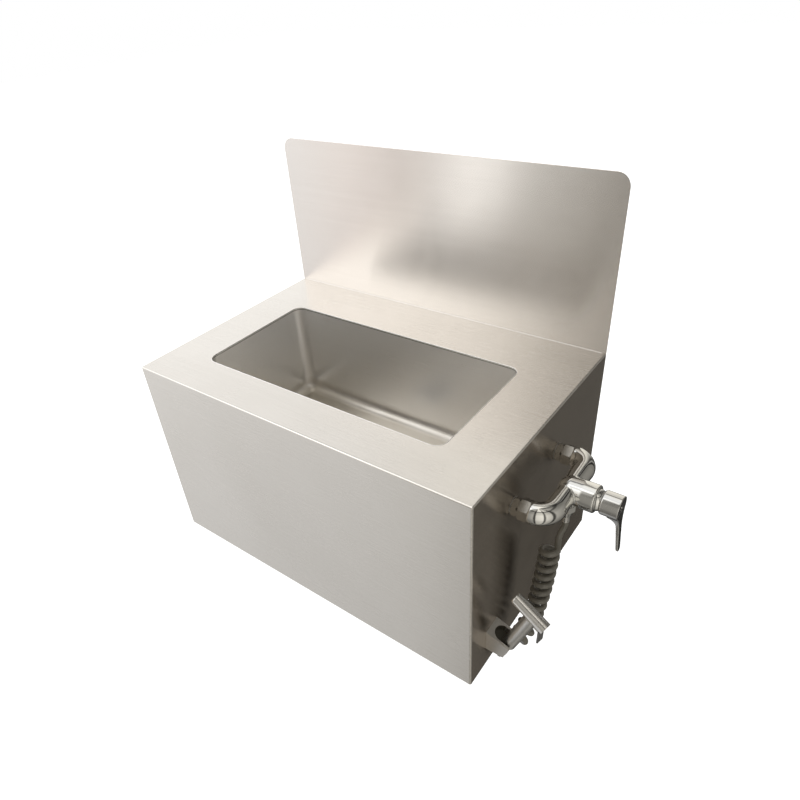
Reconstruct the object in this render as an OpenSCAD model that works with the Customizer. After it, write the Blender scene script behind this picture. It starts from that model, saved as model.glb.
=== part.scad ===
// Wall-mounted wash sink with a raised splashback, a side mixer and a spiral-hose hand spray.
// Millimetres. X runs along the sink, Y towards the wall, Z up.
// The origin is the middle of the four wall bolts, on the wall plane.

/* [Casing] */
// Width of the sink from end to end
sink_w = 700; // [660:10:760]
// Depth of the sink from the wall to the apron
sink_d = 450; // [440:5:500]
// Height of the apron and the end panels
apron_h = 395; // [380:5:440]
// Thickness of the casing sheet
sheet = 1.5; // [1.2:0.1:2]
// Outer radius of the folds along the deck and the front corners
fold_r = 3; // [2.5:0.5:5]
// Width of the inward return along the bottom edges
return_w = 20; // [15:1:30]

/* [Splashback] */
// Height of the splashback above the deck
splash_h = 300; // [200:10:400]
// Thickness of the splashback plate
splash_t = 2; // [1.5:0.5:3]
// Radius of the two upper corners
splash_r = 22; // [10:1:40]

/* [Bowl] */
// Length of the bowl opening
bowl_l = 510; // [480:5:520]
// Width of the bowl opening, front to back
bowl_w = 250; // [230:5:260]
// Depth of the bowl below the deck
bowl_depth = 200; // [170:5:220]
// Radius of the bowl's corners and of its bottom edge
bowl_r = 20; // [15:1:30]
// Thickness of the bowl wall
bowl_t = 1.2; // [1:0.1:1.5]
// Distance of the bowl's middle from the sink's middle
bowl_shift = -5; // [-15:1:15]
// Deck land in front of the bowl
bowl_front = 82; // [75:1:95]
// Width of the rim that is welded under the deck
bowl_rim = 9; // [6:1:14]
// Thickness of the sound-deadening pad under the bowl
pad_t = 3; // [2:0.5:5]

/* [Wall fixing] */
// Height of each rail's upright leg
rail_h = 60; // [50:2:80]
// Width of each rail's level leg
rail_foot = 25; // [20:1:35]
// Thickness of the rails
rail_t = 2; // [1.5:0.5:3]
// Distance between the bolt holes along the wall
bolt_dx = 560; // [500:10:600]
// Distance of the upper bolt holes below the deck
bolt_drop = 45; // [40:1:55]
// Height of the lower bolt holes above the bottom edge
bolt_low = 60; // [55:1:70]
// Radius of the wall bolt holes
bolt_r = 5.5; // [4.5:0.5:6.5]

/* [Waste] */
// Radius of the waste flange in the bowl
flange_r = 42; // [38:1:50]
// Thickness of the waste flange
flange_t = 2.5; // [2:0.5:4]
// Outer radius of the threaded waste cup
cup_r = 30; // [27:1:33]
// Wall of the waste cup
cup_t = 2.5; // [2:0.5:3]
// Depth of the waste cup below the bowl floor
cup_depth = 30; // [26:1:38]
// Outer radius of the tailpiece
tail_r = 20; // [16:1:20]
// Wall of the tailpiece
tail_t = 1.8; // [1.5:0.1:2.5]
// Height of the tailpiece's lower end above the bottom edge
tail_end = 20; // [10:5:60]
// Depth of the strainer basket
basket_depth = 20; // [14:1:22]

/* [Supply] */
// Distance between the hot and the cold inlet
inlet_pitch = 150; // [140:1:160]
// Distance of the mixer's middle from the wall
mixer_back = 255; // [235:5:265]
// Distance of the mixer's axis below the deck
mixer_drop = 90; // [80:2:110]
// Outer radius of the supply stubs
stub_r = 10.48; // [9.5:0.02:10.6]
// Length of the male end that points down
stub_drop = 50; // [40:2:60]
// Thickness of the nut that clamps each stub to the panel
panel_nut_t = 11; // [8:1:13]
// Radius of the union nuts over their corners
union_r = 18; // [16:0.5:20]

/* [Mixer] */
// Distance of the arms' centre line from the end panel
arm_out = 54; // [52:1:64]
// Bend radius of the mixer's elbows
elbow_bend = 26; // [24:1:30]
// Outer radius of the elbows
elbow_r = 17.5; // [16.5:0.5:19]
// Outer radius of the arms beside the housing
arm_r = 15; // [13:0.5:16]
// Radius of the water passages in the mixer
passage_r = 8.5; // [7:0.5:10]
// Outer radius of the cartridge housing
housing_r = 22; // [21:0.5:23]
// Reach of the housing beyond the arms' centre line
housing_out = 44; // [42:1:50]
// Radius of the cartridge
cartridge_r = 16.4; // [15.5:0.1:17]

/* [Lever] */
// Outer radius of the lever's round cap
cap_r = 19; // [18.8:0.2:20]
// Gap between the housing and the cap
cap_gap = 7; // [6:0.5:8]
// Length of the cap along its axis
cap_len = 29; // [26:1:34]
// Length of the lever from the cap's axis to its tip's centre
lever_len = 78; // [60:1:95]
// Half width of the lever's tip
tip_r = 5.5; // [4:0.5:7]
// Thickness of the lever's blade
tip_t = 3.6; // [3:0.1:6]

/* [Hose] */
// Outer diameter of the hose
hose_d = 10.4; // [8:0.2:11]
// Radius of the curls, at the middle of the hose
curl_r = 12.6; // [12:0.2:15]
// Number of curls
curls = 11.5; // [9.5:1:11.5]

/* [Spray holder] */
// Distance of the holder's middle from the front
holder_front = 66; // [55:1:90]
// Height of the holder's upper edge above the bottom edge
holder_up = 84.5; // [80:0.5:110]
// Length of the holder's sloping face
holder_l = 44; // [42:1:50]
// Width of the holder
holder_w = 36; // [34:1:42]
// Depth of the holder's outer end
holder_end = 29; // [26:1:34]
// Slope of the holder and lean of the spray
lean = 21; // [15:1:25]
// Radius of the holder's seat
seat_r = 13.6; // [12.5:0.1:14.5]
// Depth of the seat
seat_deep = 12; // [8:1:16]
// Distance of the seat's round end from the panel, along the slope
seat_in = 22; // [21:1:26]
// Distance of the spray's axis from the panel, along the slope
spray_in = 38.5; // [36:0.5:40]

/* [Hand spray] */
// Radius of the spray's handle
grip_r = 11.4; // [9.4:0.2:12]
// Distance from the holder's face to the barrel's axis
grip_l = 90; // [80:1:105]
// Radius of the barrel
barrel_r = 10.2; // [10.1:0.1:11]
// Barrel length behind the handle
barrel_back = 34; // [28:1:40]
// Barrel length in front of the handle
barrel_front = 25; // [24:1:32]
// Turn of the spray in its holder
spray_yaw = 11; // [0:1:20]
// Length of the trigger below its pin
trigger_l = 27; // [20:1:34]
// Width of the trigger
trigger_w = 14; // [10:1:16]
// Splay of the trigger from the handle
trigger_splay = 21; // [14:1:25]

/* [Hidden] */
$fn = 64;
cut = 1;
play = 0.05;
gap = 0.3;
panel_x = sink_w / 2;
end_d = sink_d - fold_r;
end_h = apron_h - fold_r;
under_deck = apron_h - sheet;
bolt_dz = apron_h - bolt_drop - bolt_low;
origin_z = bolt_low + bolt_dz / 2;
bowl_floor = apron_h - bowl_depth;
bowl_y = -(sink_d - bowl_front - bowl_w / 2);
lower_rail_z = bolt_low - rail_h / 2;
upper_rail_z = under_deck - rail_h;

pole_r = 1;
pad_in = 15;
pad_hole = 6;
cup_inner = cup_r - cup_t;
cup_floor_t = 3;
cup_bottom = bowl_floor - cup_depth - cup_floor_t;
spout_len = 20;
spout_r = tail_r + 1;
gasket_t = 3;
locknut_t = 8;
locknut_r = flange_r - 1;
basket_r = cup_inner - 1;
basket_t = 1;
basket_lip = 4;
basket_hole = 2;
knob_r = 7;
knob_up = 14;
tail_nut_t = 24;
tail_nut_low = 12;
tail_neck_r = tail_r - 0.3;

mixer_z = apron_h - mixer_drop;
inlet_ys = [-mixer_back - inlet_pitch / 2, -mixer_back + inlet_pitch / 2];
stub_in = 32;
stub_bore = 7;
stub_end = panel_nut_t + 3;
collar_t = 4.5;
washer_t = 0.8;
panel_nut_r = 15.5;
seal_t = 2;
tail_start = stub_end + seal_t - arm_out;
tail_stub_r = 11;
union_start = stub_end - 2 - arm_out;
union_t = -elbow_bend - union_start;
elbow_y = inlet_pitch / 2 - elbow_bend;
housing_edge = 1.5;
housing_back = 18;
chamber_back = -6;
boss_r = 12;
boss_down = 30;
outlet_r = 6;
hose_nut_r = 13;
hose_nut_t = 22;
ferrule_r = 6.5;
ferrule_t = 13;

pivot_out = housing_out - 2;
dome_r = 17.4;
dome_t = 2.4;
dome_mouth = 11;
dome_foot = 1.2;
ring_len = 10;
ring_inner = 14;
cartridge_front = housing_out - ring_len - 3;
spigot_r = 6;
spigot_len = 9;
carrier_r = 13;
carrier_t = 4;
ear_y = 5;
ear_t = 3;
pin_r = 2;
eye_r = 5;
stem_r = 4;
cap_start = housing_out + cap_gap;
cap_end = cap_start + cap_len;
cavity_r = dome_r + 0.6;
stem_end = cap_end - 10;
screw_x = cap_end - 14;
lever_lean = 6.5;
lever_foot = 12;
blade_start = -stem_r - 1;
blade_steps = 8;
cap_edge = 2;
screw_r = 2.5;
plug_r = 4;

tilt_x = cos(lean);
tilt_z = sin(lean);
holder_y = -(sink_d - holder_front);
holder_low = holder_up - holder_l * tilt_z - holder_end * tilt_x;
slot_r = 8.5;
neck_r = 6.5;
neck_l = (holder_up - spray_in * tilt_z - holder_low) / tilt_x + 2;
nut_l = 10;
nut_r = 8.2;
foot_z = -seat_deep + 0.2;
foot_edge = 0.8;
grip_bore = 5;
grip_shoulder = 4;
barrel_bore = 4.5;
nozzle_r = 8.4;
nozzle_t = 3;
nozzle_hole = 0.7;
cap_t = 3;
cap_edge_r = 0.4;
trigger_t = 2.5;
lug_w = 6;
lug_deep = 4.5;
trigger_x = barrel_front - 5;
trigger_z = grip_l - barrel_r + 2.6;
trigger_pin_r = 1.2;
plunger_r = 2;
plunger_z = grip_l - 18;
trigger_back = trigger_x - trigger_t / cos(trigger_splay) / 2;
plunger_tip = trigger_back + (trigger_z - plunger_z - plunger_r) * tan(trigger_splay) - gap;
plunger_collar = 3;
spring_r = 2.4;
spring_t = 0.8;
spring_l = 3;
screw_m = 2.5;

// Places of the spray and of the two ends of the hose
spray_foot = [
    panel_x + spray_in * tilt_x,
    holder_y,
    holder_up - spray_in * tilt_z
];
spray_up = [tilt_z, 0, tilt_x];
hose_top = [panel_x + arm_out, -mixer_back, mixer_z - boss_down - hose_nut_t - ferrule_t];
hose_end = spray_foot - (neck_l + nut_l) * spray_up;

// Hand-set run of the hose, as steps from its upper and from its lower end
upper_steps = [[0, 0, 0], [0, 0, -9], [-2, -1, -18], [-4, -4, -27], [-4, -10, -35], [-1, -18, -41]];
coil_from = hose_top + [-10, -26, -44];
coil_by = hose_top + [-12, -35, -140];
coil_past = hose_end + [15, 82, -9];
coil_to = hose_end + [9, 32, -1];
lower_steps = [[-4, 27, -9], [-5, 21, -17], [-5, 14, -20], [-5, 7, -18], [-4, 2, -13]];
curl_rings = 8;
hose_sides = 6;

// Lengths that follow from the shapes

function unit(v) = v / norm(v);
function bezier(a, b, c, d, t) =
    pow(1 - t, 3) * a + 3 * t * pow(1 - t, 2) * b + 3 * t * t * (1 - t) * c + pow(t, 3) * d;
function bezier_turn(a, b, c, d, t) =
    unit(pow(1 - t, 2) * (b - a) + 2 * t * (1 - t) * (c - b) + t * t * (d - c));
function square_to(hint, along) = unit(hint - (hint * along) * along);
function running(list, i = 0, sum = 0) =
    i >= len(list) ? [] : concat([sum + list[i]], running(list, i + 1, sum + list[i]));

// The middle line of the coil, with equal steps along its length
coil_steps = 60;
function coil_line(t) = bezier(coil_from, coil_by, coil_past, coil_to, t);
coil_parts = [
    for (i = [0 : coil_steps]) i == 0 ? 0 : norm(coil_line(i / coil_steps) - coil_line((i - 1) / coil_steps))
];
coil_sums = running(coil_parts);
coil_length = coil_sums[coil_steps];
coil_table = [for (i = [0 : coil_steps]) [coil_sums[i] / coil_length, i / coil_steps]];

// One point of the curls, with the direction from the coil's middle line to it
function curl_point(share) =
    let (
        t = lookup(share, coil_table),
        along = bezier_turn(coil_from, coil_by, coil_past, coil_to, t),
        side = square_to([1, 0, 0], along),
        other = cross(along, side),
        out = cos(share * curls * 360) * side + sin(share * curls * 360) * other
    )
    [coil_line(t) + curl_r * out, out];

curl_steps = curls * curl_rings;
hose_route = concat(
    [for (step = upper_steps) [hose_top + step, [1, 0, 0]]],
    [for (i = [0 : curl_steps]) curl_point(i / curl_steps)],
    [for (step = lower_steps) [hose_end + step, [-1, 0, 0]]],
    [[hose_end - hose_d * spray_up, [-1, 0, 0]], [hose_end, [-1, 0, 0]]]
);
hose_points = [for (step = hose_route) step[0]];
hose_last = len(hose_points) - 1;
hose_rings = [
    for (i = [0 : hose_last])
        let (
            along = unit(
                i == 0 ? [0, 0, -1]
                : i == hose_last ? spray_up
                : hose_points[i + 1] - hose_points[i - 1]
            ),
            side = square_to(hose_route[i][1], along),
            other = cross(along, side)
        )
        [for (k = [0 : hose_sides - 1])
            let (a = k * 360 / hose_sides)
            hose_points[i] + hose_d / 2 * (cos(a) * side + sin(a) * other)]
];

// Printed facts of the hose: its length, and the least gap between two of its curls
hose_length = running([for (i = [1 : hose_last]) norm(hose_points[i] - hose_points[i - 1])])[hose_last - 1];
curl_gap = min([
    for (i = [0 : hose_last - 6], j = [i + 6 : hose_last]) norm(hose_points[i] - hose_points[j])
]) - hose_d;
echo(hose_length = hose_length, curl_gap = curl_gap);

// Small shapes that repeat

module cyl_x(r, h) {
    rotate([0, 90, 0]) cylinder(r = r, h = h);
}

module cyl_y(r, h) {
    rotate([-90, 0, 0]) cylinder(r = r, h = h);
}

module hex_x(r, h) {
    rotate([0, 90, 0]) cylinder(r = r, h = h, $fn = 6);
}

module ring(outer, inner, h) {
    difference() {
        cylinder(r = outer, h = h);
        translate([0, 0, -cut]) cylinder(r = inner, h = h + 2 * cut);
    }
}

// Rectangle about the origin with four round corners
module round_rect(l, w, r) {
    square([l - 2 * r, w], center = true);
    square([l, w - 2 * r], center = true);
    for (sx = [-1, 1], sy = [-1, 1])
        translate([sx * (l / 2 - r), sy * (w / 2 - r)]) circle(r = r);
}

// Rectangle that spreads both ways from x = 0 and stands on y = 0, with its upper corners round
module arch_rect(l, h, r) {
    translate([-l / 2, 0]) square([l, h - r]);
    translate([-l / 2 + r, 0]) square([l - 2 * r, h]);
    for (sx = [-1, 1]) translate([sx * (l / 2 - r), h - r]) circle(r = r);
}

// Everything is drawn from the bottom edge and the wall, then moved to the bolts' middle
module placed() {
    translate([0, 0, -origin_z]) children();
}

// The mixer is drawn about the middle of its arms, with X away from the panel
module at_mixer() {
    placed() translate([panel_x + arm_out, -mixer_back, mixer_z]) children();
}

// The two inlets are drawn about their axes, from the panel's outer face
module at_inlet(i) {
    placed() translate([panel_x, inlet_ys[i], mixer_z]) children();
}

// The holder is drawn about the top of its sloping face, with Z square to that face
module at_slope() {
    placed() translate([panel_x, holder_y, holder_up]) rotate([0, lean, 0]) children();
}

// The spray is drawn about its axis at the holder's face, with X along its barrel
module at_spray() {
    at_slope() translate([spray_in, 0, 0]) rotate([0, 0, -spray_yaw]) children();
}

// Casing

// A block with the casing's folded edges, smaller all round by a given amount
module folded_block(less, drop) {
    r = fold_r - less;
    w = sink_w - 2 * less;
    d = sink_d - less;
    top = apron_h - less;
    intersection() {
        translate([0, 0, -drop]) linear_extrude(top + drop)
            mirror([0, 1]) translate([0, -drop]) arch_rect(w, d + drop, r);
        translate([0, drop, -drop]) rotate([90, 0, 0]) linear_extrude(d + 2 * drop)
            arch_rect(w, top + drop, r);
        rotate([90, 0, 90]) linear_extrude(w + 2 * fold_r, center = true) {
            translate([-d, -drop]) square([d + drop, top + drop - r]);
            translate([-d + r, -drop]) square([d + drop - r, top + drop]);
            translate([-d + r, top - r]) circle(r = r);
        }
    }
}

module deck_and_apron() {
    color("lightgray") placed() {
        difference() {
            folded_block(0, 0);
            folded_block(sheet, cut);
            translate([bowl_shift, bowl_y, under_deck - cut])
                linear_extrude(sheet + 2 * cut) round_rect(bowl_l, bowl_w, bowl_r);
            for (side = [-1, 1])
                translate([side * panel_x - fold_r, -end_d, -cut]) cube([2 * fold_r, sink_d, end_h + cut]);
        }
        translate([-panel_x + fold_r, -sink_d + sheet, 0])
            cube([sink_w - 2 * fold_r, return_w - sheet, sheet]);
    }
}

// Flat end of the casing with its bottom return, drawn for the right hand end
module end_plate() {
    translate([panel_x - sheet, -end_d, 0]) cube([sheet, end_d, end_h]);
    translate([panel_x - return_w, -sink_d + return_w, 0])
        cube([return_w - sheet, sink_d - return_w, sheet]);
}

module left_end_panel() {
    color("gray") placed() mirror([1, 0, 0]) end_plate();
}

module right_end_panel() {
    color("gray") difference() {
        placed() end_plate();
        for (i = [0, 1]) at_inlet(i) translate([-10, 0, 0]) cyl_x(stub_r + 0.4, 20);
        for (y = holder_screw_ys()) placed()
            translate([panel_x - 10, y, holder_screw_z()]) cyl_x(screw_m + 0.2, 20);
    }
}

module splashback() {
    color("silver") placed() translate([0, 0, apron_h]) rotate([90, 0, 0])
        linear_extrude(splash_t) arch_rect(sink_w, splash_h, splash_r);
}

// Solid with the bowl's inner shape, grown by a given amount
module bowl_form(grow, top) {
    r = bowl_r + grow;
    hull() for (sx = [-1, 1], sy = [-1, 1])
        translate([
            bowl_shift + sx * (bowl_l / 2 - bowl_r),
            bowl_y + sy * (bowl_w / 2 - bowl_r),
            bowl_floor + bowl_r
        ]) {
            sphere(r = r, $fn = 40);
            translate([0, 0, -r]) cylinder(r = pole_r, h = r, $fn = 8);
            cylinder(r = r, h = top - bowl_floor - bowl_r, $fn = 40);
        }
}

module bowl() {
    color("darkgray") placed() difference() {
        union() {
            bowl_form(bowl_t, under_deck - bowl_t / 2);
            translate([bowl_shift, bowl_y, under_deck - bowl_t]) linear_extrude(bowl_t)
                round_rect(bowl_l + 2 * bowl_rim, bowl_w + 2 * bowl_rim, bowl_r + bowl_rim);
        }
        bowl_form(0, apron_h + cut);
        translate([bowl_shift, bowl_y, bowl_floor - bowl_r]) cylinder(r = cup_r + 0.5, h = 2 * bowl_r);
    }
}

module sound_pad() {
    color("dimgray") placed() translate([bowl_shift, bowl_y, bowl_floor - bowl_t - pad_t])
        linear_extrude(pad_t) difference() {
            round_rect(bowl_l - 2 * (bowl_r + pad_in), bowl_w - 2 * (bowl_r + pad_in), bowl_r);
            circle(r = flange_r + pad_hole);
        }
}

// Wall rails

// Angle with its upright leg on the wall and its level leg at the top or the bottom
module rail(span, low, foot_low, hole_z) {
    difference() {
        union() {
            translate([-span / 2, -rail_t, low]) cube([span, rail_t, rail_h]);
            translate([-span / 2, -rail_foot, foot_low]) cube([span, rail_foot, rail_t]);
        }
        for (side = [-1, 1])
            translate([side * bolt_dx / 2, -rail_t - cut, hole_z]) cyl_y(bolt_r, rail_t + 2 * cut);
    }
}

module upper_wall_rail() {
    color("silver") placed()
        rail(sink_w - 2 * fold_r, upper_rail_z, under_deck - rail_t, apron_h - bolt_drop);
}

module lower_wall_rail() {
    color("silver") placed()
        rail(sink_w - 2 * sheet, lower_rail_z, lower_rail_z, bolt_low);
}

// Waste

module at_waste(z) {
    placed() translate([bowl_shift, bowl_y, z]) children();
}

module waste_body() {
    color("silver") at_waste(0) difference() {
        union() {
            translate([0, 0, bowl_floor]) cylinder(r1 = flange_r, r2 = flange_r - flange_t, h = flange_t);
            translate([0, 0, cup_bottom]) cylinder(r = cup_r, h = bowl_floor - cup_bottom);
            translate([0, 0, cup_bottom - spout_len]) cylinder(r = spout_r, h = spout_len);
        }
        translate([0, 0, cup_bottom + cup_floor_t]) cylinder(r = cup_inner, h = cup_depth + flange_t + cut);
        translate([0, 0, bowl_floor + flange_t - basket_t - 0.2])
            cylinder(r = basket_r + basket_lip + gap, h = flange_t);
        translate([0, 0, cup_bottom - spout_len - cut])
            cylinder(r = tail_r - tail_t, h = spout_len + cup_floor_t + 2 * cut);
    }
}

module waste_gasket() {
    color("black") at_waste(bowl_floor - bowl_t - gasket_t) ring(flange_r, cup_r + 0.2, gasket_t);
}

module waste_locknut() {
    low = bowl_floor - bowl_t - gasket_t - locknut_t;
    color("gold") at_waste(low) difference() {
        union() {
            cylinder(r = locknut_r, h = locknut_t * 0.6);
            for (a = [0 : 60 : 300]) rotate([0, 0, a])
                translate([cup_r, -4, 0]) cube([locknut_r - cup_r, 8, locknut_t]);
            cylinder(r = cup_r + 4, h = locknut_t);
        }
        translate([0, 0, -cut]) cylinder(r = cup_r + 0.1, h = locknut_t + 2 * cut);
    }
}

module strainer_basket() {
    color("silver") at_waste(bowl_floor + flange_t - basket_t) {
        difference() {
            union() {
                cylinder(r = basket_r + basket_lip, h = basket_t);
                translate([0, 0, -basket_depth]) cylinder(r = basket_r, h = basket_depth);
            }
            translate([0, 0, -basket_depth + basket_t])
                cylinder(r = basket_r - basket_t, h = basket_depth + cut);
            for (row = [[6, 9], [12, 18]], i = [1 : row[0]])
                rotate([0, 0, i * 360 / row[0]])
                    translate([row[1], 0, -basket_depth - cut]) cylinder(r = basket_hole, h = 3 * cut);
        }
        translate([0, 0, -basket_depth + basket_t]) cylinder(r = 3, h = basket_depth + knob_up - basket_t);
        translate([0, 0, knob_up - 5]) cylinder(r = knob_r, h = 5);
    }
}

module tailpiece() {
    top = cup_bottom - spout_len - 2;
    neck = top - tail_nut_low;
    color("silver") at_waste(0) {
        translate([0, 0, tail_end]) ring(tail_r, tail_r - tail_t, neck - tail_end);
        translate([0, 0, neck]) ring(tail_neck_r, tail_r - tail_t, top - neck);
        translate([0, 0, top - 2]) ring(tail_r + 2.5, tail_r - tail_t, 2);
    }
}

module tailpiece_washer() {
    color("black") at_waste(cup_bottom - spout_len - 2) ring(tail_r + 2, tail_r - tail_t, 2);
}

module tailpiece_nut() {
    low = cup_bottom - spout_len - tail_nut_low;
    color("silver") at_waste(low) difference() {
        union() {
            cylinder(r = tail_r + 6, h = tail_nut_t);
            for (a = [0 : 45 : 315]) rotate([0, 0, a])
                translate([tail_r + 5, -2, 4]) cube([3, 4, tail_nut_t - 8]);
        }
        translate([0, 0, -cut]) cylinder(r = tail_r + 0.1, h = tail_nut_t + 2 * cut);
        translate([0, 0, tail_nut_low - 4]) cylinder(r = tail_r + 2.7, h = tail_nut_t);
    }
}

// Supply, one set for hot at the front and one for cold at the back

module wall_elbow(i) {
    color("goldenrod") at_inlet(i) difference() {
        union() {
            translate([-stub_in, 0, 0]) cyl_x(stub_r, stub_in + stub_end);
            translate([-sheet - collar_t, 0, 0]) cyl_x(stub_r + 5, collar_t);
            translate([-stub_in, 0, -stub_drop]) cylinder(r = stub_r, h = stub_drop);
            translate([-stub_in, 0, 0]) sphere(r = stub_r + 4.5);
        }
        translate([-stub_in, 0, 0]) cyl_x(stub_bore, stub_in + stub_end + cut);
        translate([-stub_in, 0, -stub_drop - cut]) cylinder(r = stub_bore, h = stub_drop + cut);
    }
}

module hot_wall_elbow() {
    wall_elbow(0);
}

module cold_wall_elbow() {
    wall_elbow(1);
}

module panel_washers() {
    for (i = [0, 1]) color("black") at_inlet(i) rotate([0, 90, 0]) ring(stub_r + 4, stub_r + 0.1, washer_t);
}

module panel_nut(i) {
    color("lightgray") at_inlet(i) translate([washer_t, 0, 0]) difference() {
        hex_x(panel_nut_r, panel_nut_t - washer_t);
        translate([-cut, 0, 0]) cyl_x(stub_r + 0.1, panel_nut_t + 2 * cut);
    }
}

module hot_panel_nut() {
    panel_nut(0);
}

module cold_panel_nut() {
    panel_nut(1);
}

module union_nut(side) {
    color("lightgray") at_mixer() translate([union_start, side * inlet_pitch / 2, 0]) difference() {
        hex_x(union_r, union_t);
        translate([-cut, 0, 0]) cyl_x(tail_stub_r + 0.1, union_t + 2 * cut);
    }
}

module hot_union_nut() {
    union_nut(-1);
}

module cold_union_nut() {
    union_nut(1);
}

module inlet_seals() {
    for (i = [0, 1]) color("black") at_inlet(i) translate([stub_end, 0, 0])
        rotate([0, 90, 0]) ring(stub_r, stub_bore, seal_t);
}

// Mixer

// Half of the mixer's run from one inlet to the middle, about the arms' centre line
module inlet_run(elbow, arm, tail) {
    translate([-elbow_bend, elbow_y, 0]) rotate_extrude(angle = 90)
        translate([elbow_bend, 0]) circle(r = elbow);
    rotate([-90, 0, 0]) cylinder(r1 = arm, r2 = elbow, h = elbow_y);
    translate([tail_start, inlet_pitch / 2, 0]) cyl_x(tail, -elbow_bend - tail_start);
}

module housing_outside() {
    rotate([0, 90, 0]) rotate_extrude() polygon(concat(
        [for (a = [0 : 22.5 : 90]) [(housing_r - housing_edge) * sin(a), -housing_back * cos(a)]],
        [[housing_r, housing_out / 2], [housing_r, housing_out - housing_edge]],
        [[housing_r - housing_edge, housing_out], [0, housing_out]]
    ));
}

module mixer_body() {
    color("white") at_mixer() difference() {
        union() {
            inlet_run(elbow_r, arm_r, tail_stub_r);
            mirror([0, 1, 0]) inlet_run(elbow_r, arm_r, tail_stub_r);
            housing_outside();
            translate([0, 0, -boss_down]) cylinder(r = boss_r, h = boss_down);
        }
        translate([chamber_back, 0, 0]) cyl_x(cartridge_r + 0.1, housing_out - chamber_back + cut);
        for (side = [-1, 1]) {
            translate([0, side * (elbow_y + 4), 0]) rotate([side * 90, 0, 0])
                cylinder(r = passage_r, h = elbow_y - 8);
            translate([tail_start - cut, side * inlet_pitch / 2, 0])
                cyl_x(passage_r, -elbow_bend - tail_start + elbow_bend / 2);
            translate([-elbow_bend / 2, side * (elbow_y + elbow_bend / 2), 0]) rotate([0, 0, side * 135])
                translate([-elbow_bend / 2, 0, 0]) cyl_x(passage_r - 1, elbow_bend);
        }
        translate([0, 0, -boss_down - cut]) cylinder(r = outlet_r, h = boss_down);
    }
}

module cartridge() {
    color("ivory") at_mixer() difference() {
        translate([chamber_back, 0, 0]) cyl_x(cartridge_r, cartridge_front - chamber_back);
        translate([cartridge_front - spigot_len - cut, 0, 0]) cyl_x(spigot_r + play, spigot_len + 2 * cut);
    }
}

module cartridge_ring() {
    color("white") at_mixer() rotate([0, 90, 0]) rotate_extrude() {
        translate([ring_inner, housing_out - ring_len])
            square([cartridge_r - ring_inner, ring_len + dome_foot]);
        translate([ring_inner, housing_out]) square([dome_r - 0.6 - ring_inner, dome_foot]);
        intersection() {
            difference() {
                translate([0, pivot_out]) circle(r = dome_r);
                translate([0, pivot_out]) circle(r = dome_r - dome_t);
            }
            translate([dome_mouth, housing_out]) square([dome_r, dome_r]);
        }
    }
}

module stem_carrier() {
    color("tan") at_mixer() {
        translate([cartridge_front - spigot_len, 0, 0]) cyl_x(spigot_r, spigot_len + gap);
        translate([cartridge_front + gap, 0, 0]) cyl_x(carrier_r, carrier_t);
        for (side = [-1, 1]) difference() {
            translate([cartridge_front + gap + carrier_t, side * (ear_y + ear_t / 2) - ear_t / 2, -eye_r])
                cube([pivot_out + eye_r - cartridge_front - gap - carrier_t, ear_t, 2 * eye_r]);
            translate([pivot_out, -2 * ear_y, 0]) cyl_y(pin_r, 4 * ear_y);
        }
    }
}

module stem_pin() {
    color("silver") at_mixer() translate([pivot_out, -ear_y - ear_t, 0]) cyl_y(pin_r, 2 * (ear_y + ear_t));
}

module lever_stem() {
    color("silver") at_mixer() difference() {
        union() {
            translate([pivot_out, -ear_y + gap, 0]) cyl_y(eye_r - 0.8, 2 * (ear_y - gap));
            translate([pivot_out, 0, 0]) cyl_x(stem_r, stem_end - pivot_out);
        }
        translate([pivot_out, -2 * ear_y, 0]) cyl_y(pin_r + play, 4 * ear_y);
    }
}

// A curve from a to c that leaves a and meets c in the direction of b
function soft_bend(a, b, c) = [
    for (i = [0 : blade_steps])
        let (t = i / blade_steps)
        pow(1 - t, 2) * a + 2 * t * (1 - t) * b + t * t * c
];

// Side outline of the lever's blade, from the cap's middle to the tip
module blade_side() {
    tip_end = -lever_len - tip_r;
    root = [cap_start + lever_foot, -cap_r + 1.5];
    bend = [cap_end - tip_t, -cap_r - 2.5];
    knee = [cap_end - tip_t + 0.5, -cap_r - 15];
    polygon(concat(
        [[cap_end - 0.5, blade_start], [root[0], blade_start]],
        soft_bend(root, bend, knee),
        [[cap_end + lever_lean - tip_t, tip_end], [cap_end + lever_lean, tip_end]]
    ));
}

// Face outline of the blade, which narrows fast below the cap
module blade_face() {
    edge = soft_bend([cap_r - 0.8, blade_start], [tip_r + 2, -cap_r], [tip_r + 0.7, -2 * cap_r]);
    polygon(concat(
        edge,
        [[tip_r, -lever_len], [-tip_r, -lever_len]],
        [for (i = [blade_steps : -1 : 0]) [-edge[i][0], edge[i][1]]]
    ));
    translate([0, -lever_len]) circle(r = tip_r);
}

// The turned cap, hollow over the cartridge ring and bored for the stem
module lever_cap() {
    cap_face = cap_end - 0.5;
    rotate([0, 90, 0]) rotate_extrude() difference() {
        polygon([
            [0, cap_start], [cap_r - cap_edge, cap_start], [cap_r, cap_start + cap_edge],
            [cap_r, cap_face], [0, cap_face]
        ]);
        translate([0, pivot_out]) circle(r = cavity_r);
        translate([0, pivot_out]) square([stem_r, stem_end - pivot_out]);
    }
}

module lever_handle() {
    color("white") at_mixer() difference() {
        union() {
            lever_cap();
            intersection() {
                rotate([90, 0, 90]) linear_extrude(2 * cap_end) blade_face();
                translate([0, cap_r, 0]) rotate([90, 0, 0]) linear_extrude(2 * cap_r) blade_side();
            }
        }
        translate([screw_x, 0, -cap_r - 4]) cylinder(r = screw_r, h = cap_r + 5 - stem_r);
    }
}

module lever_screw() {
    color("dimgray") at_mixer() translate([screw_x, 0, -cap_r + 2])
        cylinder(r = screw_r, h = cap_r - 2 - stem_r);
}

module index_plug() {
    color("white") at_mixer() translate([cap_end - 0.5, 0, 0]) cyl_x(plug_r, 0.8);
}

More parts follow.
